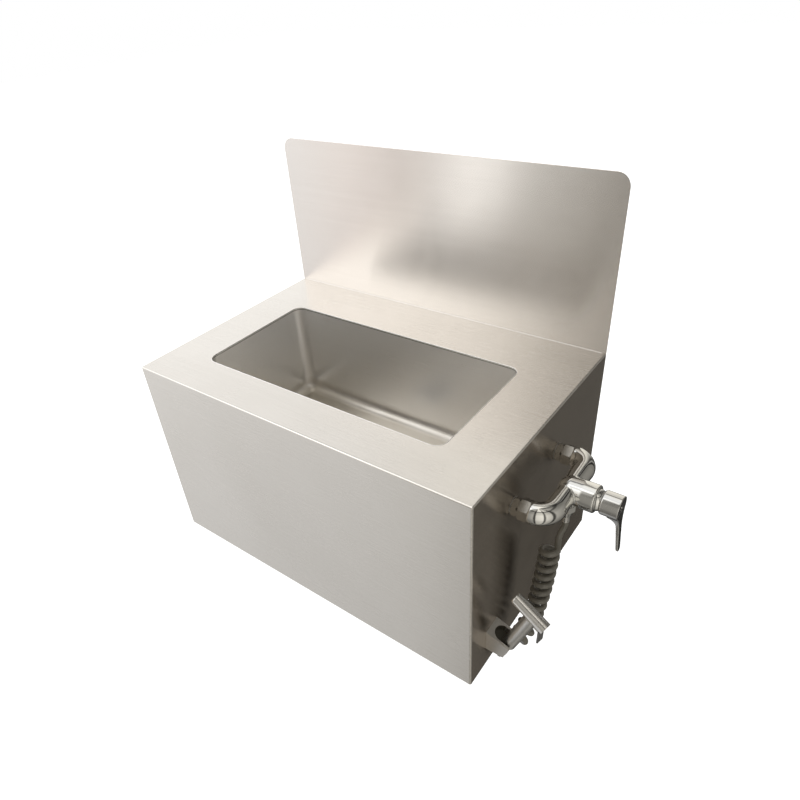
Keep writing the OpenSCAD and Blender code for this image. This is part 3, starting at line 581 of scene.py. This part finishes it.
def bowl():
    """The drawn bowl: a box with rounded folds, its drain, its rim and the sheet's thickness."""
    bm = bmesh.new()
    bmesh.ops.create_cube(bm, size=1)
    depth = BOWL_TOP - BOWL_LOW
    bmesh.ops.scale(bm, verts=bm.verts, vec=(2 * BOWL_HALF[0], 2 * BOWL_HALF[1], depth))
    bmesh.ops.translate(bm, verts=bm.verts, vec=BOWL_MID + Vector((0, 0, BOWL_LOW + depth / 2)))
    lid = [f for f in bm.faces if f.normal.z > 0.9]
    bmesh.ops.delete(bm, geom=lid, context="FACES_ONLY")
    corners = [e for e in bm.edges if not e.is_boundary]
    bmesh.ops.bevel(bm, geom=corners, affect="EDGES", offset=BOWL_R, offset_type="OFFSET",
                    segments=10, profile=0.5, material=-1)
    floor = max((f for f in bm.faces if f.normal.z < -0.999), key=lambda f: f.calc_area())
    edge_of_floor = list(floor.edges)
    bmesh.ops.delete(bm, geom=[floor], context="FACES_ONLY")
    drain = bmesh.ops.create_circle(bm, segments=40, radius=DRAIN_R)["verts"]
    bmesh.ops.translate(bm, verts=drain, vec=BOWL_MID + Vector((0, 0, BOWL_LOW)))
    ring = [e for e in bm.edges if e.verts[0] in drain and e.verts[1] in drain]
    bmesh.ops.triangle_fill(bm, edges=edge_of_floor + ring, use_beauty=True)
    top = [e for e in bm.edges if e.is_boundary and e.verts[0].co.z > BOWL_TOP - TINY]
    rim = bmesh.ops.extrude_edge_only(bm, edges=top)["geom"]
    for part in rim:
        if isinstance(part, bmesh.types.BMVert):
            part.co += rim_side(part.co) * BOWL_RIM
    bmesh.ops.recalc_face_normals(bm, faces=bm.faces)
    end_x = BOWL_MID.x + BOWL_HALF[0]
    end = next(f for f in bm.faces if f.calc_center_median().x > end_x - 10 * TINY
               and abs(f.normal.x) > 0.99)
    if end.normal.x > 0:
        bmesh.ops.reverse_faces(bm, faces=bm.faces)
    piece = settle("bowl_skin", bm, bowl_steel_painted_light_and_shade, SINK, ["bowl"])
    wall = piece.modifiers.new("wall", "SOLIDIFY")
    wall.thickness = BOWL_SHEET
    wall.offset = -1
    weigh(piece)


def hexagon(radius, low, high, chamfer):
    """A nut's outside about Z, with chamfered ends and a corner on X."""
    bm = bmesh.new()
    bmesh.ops.create_cone(bm, cap_ends=True, segments=96, radius1=radius, radius2=radius,
                          depth=high - low)
    bmesh.ops.translate(bm, verts=bm.verts, vec=(0, 0, (high + low) / 2))
    rims = [e for e in bm.edges if e.is_manifold and abs(e.verts[0].co.z - e.verts[1].co.z) < 1e-7]
    bmesh.ops.bevel(bm, geom=rims, affect="EDGES", offset=chamfer, offset_type="OFFSET", segments=1,
                    profile=0.5, material=-1)
    flat_at = radius * math.cos(math.radians(30))
    for i in range(6):
        angle = math.radians(30 + 60 * i)
        flat = Vector((math.cos(angle), math.sin(angle), 0))
        cut = bmesh.ops.bisect_plane(bm, geom=bm.verts[:] + bm.edges[:] + bm.faces[:],
                                     clear_outer=True, plane_co=flat * flat_at, plane_no=flat)
        open_edges = [e for e in cut["geom_cut"] if isinstance(e, bmesh.types.BMEdge)]
        bmesh.ops.contextual_create(bm, geom=open_edges)
        cleaned(bm)
    bmesh.ops.recalc_face_normals(bm, faces=bm.faces)
    return bm


def nuts():
    """The four nuts of the mixer's two inlets, and the hose nut under its housing."""
    sharp = 20
    across = Matrix.Rotation(math.radians(90), 4, "Y")
    for side, y in (("hot", -0.330), ("cold", -0.180)):
        for kind, radius, low, high in (("panel_nut", 0.0155, 0.3508, 0.361),
                                        ("union_nut", 0.018, 0.362, 0.378)):
            bm = hexagon(radius, low, high, chamfer=0.0016)
            place = Matrix.Translation((0, y, MIXER.z)) @ across
            bmesh.ops.transform(bm, verts=bm.verts, matrix=place)
            settle(f"{side}_{kind}_skin", bm, nut_chrome_painted_shade, SINK, [f"{side}_{kind}"], sharp)
    bm = hexagon(radius=0.013, low=-0.041, high=-0.030, chamfer=0.0012)
    neck_l, neck_mid = 0.011, -0.0465
    neck = bmesh.ops.create_cone(bm, cap_ends=True, segments=48, radius1=0.008, radius2=0.011,
                                 depth=neck_l)
    bmesh.ops.translate(bm, verts=neck["verts"], vec=(0, 0, neck_mid))
    bmesh.ops.translate(bm, verts=bm.verts, vec=MIXER)
    settle("outlet_hose_nut_skin", bm, chrome, SINK, ["outlet_hose_nut"], sharp)


def castings():
    """The mixer's body and the lever, whose parts run into each other."""
    sharp = 60
    body = remeshed(merged("mixer_body"), voxel=0.8 * MM, rounds=14)
    settle("mixer_casting", body, chrome, SINK, ["mixer_body"], sharp)
    lever = remeshed(merged("lever_handle"), voxel=0.5 * MM, rounds=10)
    settle("lever_casting", lever, lever_chrome, "lever", ["lever_handle"], sharp)


def weld_bead():
    """The polished seam between the deck and the splashback."""
    bead_r, bead_l, splash_face = 0.0012, 0.686, -0.0022
    bm = bmesh.new()
    bmesh.ops.create_cone(bm, cap_ends=True, segments=12, radius1=bead_r, radius2=bead_r, depth=bead_l)
    turn = Matrix.Rotation(math.radians(90), 4, "Y")
    bmesh.ops.transform(bm, verts=bm.verts, matrix=Matrix.Translation((0, splash_face, DECK_Z)) @ turn)
    settle("splash_weld", bm, wall_steel, SINK, [])


def bowl_rim():
    """The polished edge of the sheet round the bowl's opening."""
    edge_r, below_deck, steps = 0.0007, 0.0005, 8
    flat_x, flat_y = BOWL_HALF[0] - BOWL_R, BOWL_HALF[1] - BOWL_R
    run = []
    for x, y, start in ((1, 1, 0), (-1, 1, 90), (-1, -1, 180), (1, -1, 270)):
        for step in range(steps + 1):
            angle = math.radians(start + step * 90 / steps)
            run.append(BOWL_MID + Vector((x * flat_x + BOWL_R * math.cos(angle),
                                          y * flat_y + BOWL_R * math.sin(angle),
                                          DECK_Z - below_deck)))
    rim = tube("bowl_rim_edge", run, edge_r, sides=8, finish=rim_steel, ring=True)
    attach(rim, SINK)


def holder():
    """The spray's holder, with painted shade on the faces down in its seat."""
    under_top, seat_start, seat_half = 0.001, 0.007, 0.0138
    bm = merged("spray_holder")
    soften(bm, HOLDER_EDGE_R)
    piece = settle("spray_holder_skin", bm, holder_steel, SINK, ["spray_holder"])
    # painted shade: the faces down in the seat get the near-black seat finish
    piece.data.materials.append(seat_shade)
    top = from_edge(*HOLDER_TOP)
    for face in piece.data.polygons:
        at = face.center - top
        in_seat = at.dot(SPRAY_UP) < -under_top and at.dot(SPRAY_OUT) > seat_start
        if in_seat and abs(at.y) < seat_half and abs(face.normal.y) < 0.999:
            face.material_index = 1
    weigh(piece)


def valve_spring():
    """The trigger valve's coil spring."""
    valve_up, valve_in = 72, 4
    coils, coil_points, long, wire_r, mid_r = 4, 14, 3.0, 0.25, 2.1
    push = math.cos(SPRAY_YAW) * SPRAY_OUT - Vector((0, math.sin(SPRAY_YAW), 0))
    side = push.cross(SPRAY_UP)
    fixed = SPRAY_FOOT + valve_up * SPRAY_UP - valve_in * push
    run = []
    for i in range(coils * coil_points + 1):
        angle = 2 * math.pi * i / coil_points
        ahead = wire_r + (long - 2 * wire_r) * i / (coils * coil_points)
        run.append(from_edge(*(fixed + ahead * push
                               + mid_r * (math.cos(angle) * side + math.sin(angle) * SPRAY_UP))))
    spring = tube("valve_spring_coil", run, wire_r * MM, sides=6, finish=fitting_steel)
    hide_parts("valve_spring")
    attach(spring, "spray")
    tuple(from_edge(*fixed))
    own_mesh(spring)


deck()
bowl()
nuts()
castings()
weld_bead()
bowl_rim()
holder()
valve_spring()
dressed("spray_handle", grip_steel, "spray")
dressed("spray_barrel", barrel_steel, "spray")
dressed("spray_end_cap", barrel_steel, "spray")
dressed("splashback", wall_steel, SINK)


# Finishes of the CAD nodes

for finish, nodes in (
        (deck_steel, ["deck_and_apron"]),
        (end_steel_painted_shade, ["left_end_panel", "right_end_panel"]),
        (wall_steel, ["splashback"]),
        (bowl_steel_painted_light_and_shade, ["bowl"]),
        (rail_steel, ["upper_wall_rail", "lower_wall_rail"]),
        (holder_steel, ["spray_holder"]),
        (grip_steel, ["spray_handle"]),
        (barrel_steel, ["spray_barrel", "spray_end_cap"]),
        (fitting_steel, ["waste_body", "strainer_basket", "stem_pin", "lever_stem", "lever_screw",
                         "hose_ferrule", "holder_screws", "handle_hose_nut", "trigger_pin",
                         "valve_plunger", "valve_spring"]),
        (chrome, ["tailpiece", "tailpiece_nut", "mixer_body", "cartridge_ring", "index_plug",
                  "outlet_hose_nut"]),
        (lever_chrome, ["lever_handle"]),
        (nut_chrome_painted_shade, ["hot_panel_nut", "cold_panel_nut", "hot_union_nut", "cold_union_nut"]),
        (brass, ["waste_locknut", "hot_wall_elbow", "cold_wall_elbow"]),
        (washer_fibre, ["panel_washers"]),
        (rubber, ["waste_gasket", "tailpiece_washer", "inlet_seals"]),
        (pad_rubber, ["sound_pad"]),
        (valve_plastic, ["cartridge", "stem_carrier"]),
        (dark_plastic, ["spray_nozzle", "trigger"]),
        (hose_plastic, ["spiral_hose"])):
    for name in nodes:
        painted(frame["nodes"][name], finish)


# The hose's placing, baked into its mesh, and its length

from_edge(379.5, -352, 29.5)
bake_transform(hose)
length_of(route)


# Studio

FLOOR_Z = -0.72
FLOOR_SIZE = 14
FLOOR_TONE = (0.8, 0.8, 0.79, 1)
FLOOR_GLOW = 0.65
PLAIN = 0.75                    # the world's brightness for all that isn't a reflection
ROOM_POWER = 2.1
STRIPE_POWER = 1.9
LOW_RIGHT_CUT = 0.85
WHITE = (1, 1, 1)
WARM = (1.0, 0.955, 0.86)
ROSE = (1.0, 0.9, 0.85)


def studio():
    """A white floor that only the camera sees glow."""
    bm = bmesh.new()
    bmesh.ops.create_grid(bm, x_segments=1, y_segments=1, size=FLOOR_SIZE)
    bmesh.ops.translate(bm, verts=bm.verts, vec=(0, 0, FLOOR_Z))
    mesh = bpy.data.meshes.new("floor")
    bm.to_mesh(mesh)
    bm.free()
    floor = placed("floor", mesh)
    floor.visible_glossy = False
    f = Finish("floor_white")
    path = f.tree.nodes.new("ShaderNodeLightPath")
    seen = Value(f, path.outputs["Is Camera Ray"]) + Value(f, path.outputs["Is Transmission Ray"])
    matt = f.node("ShaderNodeBsdfDiffuse", None, FLOOR_TONE)
    glow = f.node("ShaderNodeEmission", None, Strength=seen.clamp() * FLOOR_GLOW)
    f.show(f.node("ShaderNodeAddShader", None, matt, glow))
    painted(floor, f.material)


def world():
    """White behind the sink, and for reflections a room, bright on the left and dark on the right.

    Each stop is an angle in degrees and a brightness. The angles go round from +X towards +Y, or up
    from level.
    """
    scene = bpy.context.scene
    scene.view_settings.view_transform = "Standard"
    scene.world = bpy.data.worlds.new("studio")
    scene.world.use_nodes = True
    scene.world.cycles.sampling_method = "NONE"
    w = Shader(scene.world.node_tree, "ShaderNodeOutputWorld")
    parts = w.tree.nodes.new("ShaderNodeSeparateXYZ")
    w.tree.links.new(w.node("ShaderNodeTexCoord", out="Generated").socket, parts.inputs[0])
    x, y, z = (Value(w, socket) for socket in parts.outputs)
    turn = w.node("ShaderNodeMath", dict(operation="ARCTAN2"), y, x) / (2 * math.pi) + 0.5
    lift = w.node("ShaderNodeMath", dict(operation="ARCSINE"), z) / math.pi + 0.5

    def by_turn(*stops):
        return w.ramp(turn, *(((at + 180) / 360, height) for at, height in stops))

    def by_lift(*stops):
        return w.ramp(lift, *(((at + 90) / 180, height) for at, height in stops))

    # the room's brightness round the sink, and from the floor up
    around = by_turn(
        (-150, 0.78), (-140, 0.74), (-132, 0.79), (-127, 0.79), (-117, 0.6), (-112, 0.42),
        (-106, 0.22), (-84, 0.42), (-81, 0.06), (-76, 0.06), (-73, 0.7), (-48, 0.85),
        (-45, 0.1), (-41, 0.1), (-37, 0.7), (-16, 0.5), (-13, 0.06), (-6, 0.06),
        (0, 0.4), (50, 0.2), (60, 0.2), (63, 0.02), (69, 0.02), (71, 0.32),
        (73.5, 0.32), (75, 0.06), (80, 0.06), (96, 0.72), (108, 0.95), (126, 0.84))
    above = by_lift(
        (-90, 0.1), (-64, 0.37), (-55, 0.41), (-42, 0.455), (-30, 0.53), (-18, 0.66), (0, 0.7),
        (24, 0.735), (36, 0.6), (50, 0.55), (54, 0.2), (60, 0.2), (64, 0.75), (90, 0.9))
    # the window, and below it a bright stripe beside a dim one
    window = (by_turn((-165, 0.0), (-152, 1.0), (-122, 1.0), (-106, 0.0))
              * by_lift((4, 0.0), (20, 1.0), (66, 1.0), (76, 0.0)))
    stripe_round = by_turn((-131, 0.5), (-127, 0.2), (-124, 0.2), (-122, 1.0), (-118.5, 1.0),
                           (-116.5, 0.36), (-112, 0.5))
    stripe = (stripe_round - 0.5) * by_lift((-36, 0.0), (-26, 1.0), (-19, 1.0), (-13, 0.6), (4, 0.0))
    # two places that stay dark, low down behind the sink and on the right
    dusk = by_turn((58, 0.0), (63, 1.0), (76, 1.0), (79, 0.0)) * by_lift((-46, 1.0), (-38, 0.0))
    low_right = (by_turn((76, 0.0), (82, 1.0), (150, 1.0), (160, 0.0))
                 * by_lift((-22, 1.0), (-8, 0.0)))
    # the shares of warm and of rosy light
    warm = by_turn((-180, 0.0), (-135, 0.0), (-120, 0.2), (-105, 0.9), (60, 0.9), (72, 0.6),
                   (100, 1.0), (120, 0.5), (135, 0.1), (180, 0.0))
    rosy = (by_turn((-136, 0.0), (-130, 1.0), (-125, 1.0), (-122.5, 0.0))
            * by_lift((-36, 0.0), (-26, 1.0), (-8, 1.0), (4, 0.0)))

    path = w.tree.nodes.new("ShaderNodeLightPath")
    glossy = Value(w, path.outputs["Is Glossy Ray"])
    camera = Value(w, path.outputs["Is Camera Ray"]) + Value(w, path.outputs["Is Transmission Ray"])
    plain = camera.clamp() * (1.0 - PLAIN) + PLAIN
    room = around * above * (stripe * STRIPE_POWER + 1.0) * (1 - dusk) * (1 - low_right * LOW_RIGHT_CUT)
    strength = glossy * (room * ROOM_POWER + window - plain) + plain
    tint = w.mix(glossy * warm, WHITE, WARM)
    tint = w.mix(glossy * rosy, tint, ROSE)
    w.show(w.node("ShaderNodeBackground", None, tint, strength))


def lamp(name, at, aim, size, power):
    """A square lamp of a size in metres and a power in watts, which no reflection shows."""
    data = bpy.data.lights.new(name, "AREA")
    data.shape = "RECTANGLE"
    data.size = size
    data.size_y = size
    data.energy = power
    made = placed(name, data)
    made.location = at
    made.rotation_euler = (Vector(aim) - Vector(at)).to_track_quat("-Z", "Y").to_euler()
    made.visible_glossy = False


studio()
world()
lamp("key", at=(-1.6, -1.6, 2.2), aim=(0, -0.2, 0), size=1.6, power=24)
lamp("fill", at=(1.8, -2.0, 1.4), aim=(0.1, -0.2, 0), size=1.2, power=8)
